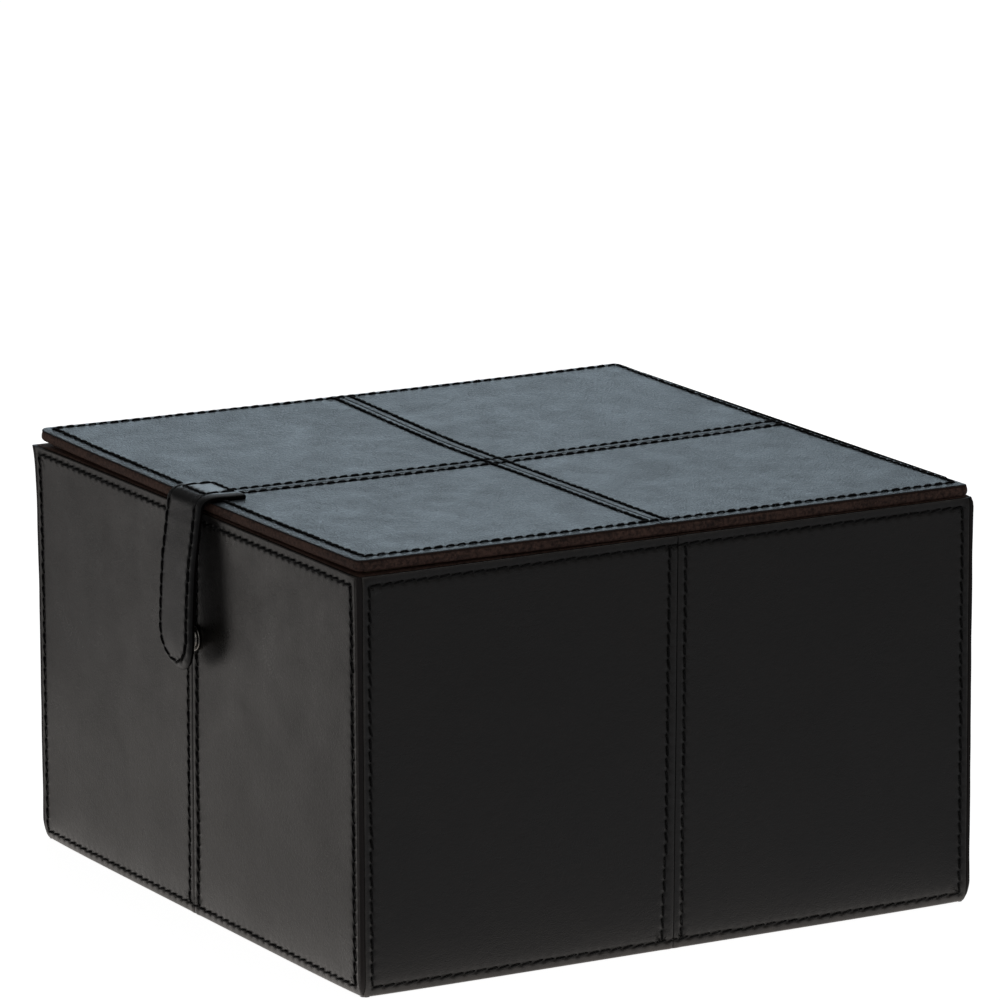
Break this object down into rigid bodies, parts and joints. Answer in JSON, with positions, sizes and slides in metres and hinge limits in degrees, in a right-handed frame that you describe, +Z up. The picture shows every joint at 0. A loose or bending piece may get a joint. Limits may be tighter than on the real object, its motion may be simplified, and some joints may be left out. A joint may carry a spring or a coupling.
{
  "type": "hat box",
  "caption": "Square stitched-leather hat box with a flat lid hinged along the back and a closing strap that hangs over a stud on the front wall.",
  "frame": {"origin": "centre of the flat underside of the box body", "axes": "+Z up, -Y towards the front wall that carries the strap, +X to the right seen from the front"},
  "size_m": [0.35, 0.3651, 0.2202],
  "materials": {
    "leather_wall": "satin smooth black leather on the walls",
    "leather_lid": "satin black leather with a fine pebble grain on the lid",
    "leather_strap": "satin smooth black strap leather",
    "leather_raw_edge": "matte dark brown raw leather edge",
    "leather_under": "matte black leather underside",
    "lining": "dark brown suede-like lining",
    "board": "plain fibre board",
    "steel": "polished nickel-plated steel",
    "magnet": "plated magnet",
    "thread": "waxed black sewing thread"
  },
  "bodies": {
    "box": {"base_board": "board", "base_underlay": "leather_under", "front_wall_board": "board", "back_wall_board": "board", "left_wall_board": "board", "right_wall_board": "board", "front_panel_left": "leather_wall", "front_panel_right": "leather_wall", "right_panel_front": "leather_wall", "right_panel_back": "leather_wall", "back_panel_left": "leather_wall", "back_panel_right": "leather_wall", "left_panel_front": "leather_wall", "left_panel_back": "leather_wall", "corner_strip_front_left": "leather_raw_edge", "corner_strip_front_right": "leather_raw_edge", "corner_strip_back_left": "leather_raw_edge", "corner_strip_back_right": "leather_raw_edge", "rim_front": "leather_raw_edge", "rim_back": "leather_raw_edge", "rim_left": "leather_raw_edge", "rim_right": "leather_raw_edge", "floor_lining": "lining", "front_lining": "lining", "back_lining": "lining", "left_lining": "lining", "right_lining": "lining", "hinge_leaf_body": "leather_strap", "stud_cap": "steel", "stud_washer": "steel"},
    "lid": {"lid_board": "board", "lid_panel_front_left": "leather_lid", "lid_panel_front_right": "leather_lid", "lid_panel_back_left": "leather_lid", "lid_panel_back_right": "leather_lid", "lid_edge_front": "leather_raw_edge", "lid_edge_back": "leather_raw_edge", "lid_edge_left": "leather_raw_edge", "lid_edge_right": "leather_raw_edge", "lid_underside": "leather_under", "lid_inner_pad": "board", "lid_inner_lining": "lining", "hinge_leaf_lid": "leather_strap", "strap_tab_outer": "leather_strap", "strap_tab_inner": "leather_strap"},
    "strap": {"strap_outer": "leather_strap", "strap_inner": "leather_strap", "magnet_cup": "steel", "closure_magnet": "magnet"}
  },
  "joints": [
    {"name": "lid_hinge", "type": "hinge", "parent": "box", "child": "lid", "pos_m": [0, 0.175, 0.2104], "axis": [-1, 0, 0], "range_deg": [0, 110]},
    {"name": "strap_flex", "type": "hinge", "parent": "lid", "child": "strap", "pos_m": [0.004, -0.1812, 0.2135], "axis": [-1, 0, 0], "range_deg": [0, 150]}
  ]
}
